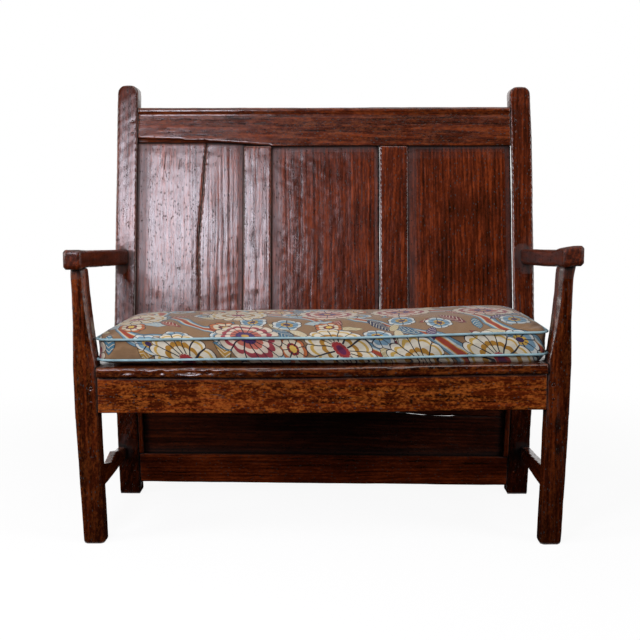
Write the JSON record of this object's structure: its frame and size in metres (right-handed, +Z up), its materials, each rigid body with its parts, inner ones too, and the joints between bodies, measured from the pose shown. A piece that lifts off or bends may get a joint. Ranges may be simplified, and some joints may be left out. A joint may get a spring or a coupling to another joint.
{
  "type": "settle bench",
  "caption": "Settle bench with a raked boarded back, bent back posts, shaped arms, a plank seat and a loose box cushion that lifts out.",
  "frame": {"origin": "on the floor, at the middle of the bounding box", "axes": "+X to the sitter's left, which is the right of the picture; +Y from front to back; +Z up"},
  "size_m": [1.254, 0.6482, 1.186],
  "materials": {
    "waxed_oak": "worn wax polish",
    "board_oak": "worn wax polish",
    "peg_oak": "worn wax polish",
    "printed_linen": "matte printed weave",
    "piping_cloth": "matte weave"
  },
  "bodies": {
    "bench": {"arm_pegs": "peg_oak", "back_bottom_rail": "waxed_oak", "back_frame_pegs": "peg_oak", "back_seat_plank": "waxed_oak", "back_seat_rail": "waxed_oak", "back_top_rail": "waxed_oak", "centre_board": "board_oak", "front_seat_plank": "waxed_oak", "front_seat_rail": "waxed_oak", "left_arm": "waxed_oak", "left_back_post": "waxed_oak", "left_edge_strip": "board_oak", "left_front_leg": "waxed_oak", "left_inner_board": "board_oak", "left_muntin": "waxed_oak", "left_outer_board": "board_oak", "left_seat_rail": "waxed_oak", "left_stretcher": "waxed_oak", "lower_back_lower_board": "board_oak", "lower_back_upper_board": "board_oak", "middle_seat_bearer": "waxed_oak", "middle_seat_plank": "waxed_oak", "right_arm": "waxed_oak", "right_back_post": "waxed_oak", "right_board": "board_oak", "right_edge_strip": "board_oak", "right_front_leg": "waxed_oak", "right_muntin": "waxed_oak", "right_seat_rail": "waxed_oak", "right_stretcher": "waxed_oak", "seat_ledger": "waxed_oak", "seat_rail_pegs": "peg_oak", "stretcher_pegs": "peg_oak"},
    "cushion": {"cushion_pad": "printed_linen", "cushion_piping": "piping_cloth"}
  },
  "joints": [
    {"name": "cushion_lift", "type": "slide", "parent": "bench", "child": "cushion", "axis": [0, 0, 1], "range_m": [0, 0.32]}
  ]
}
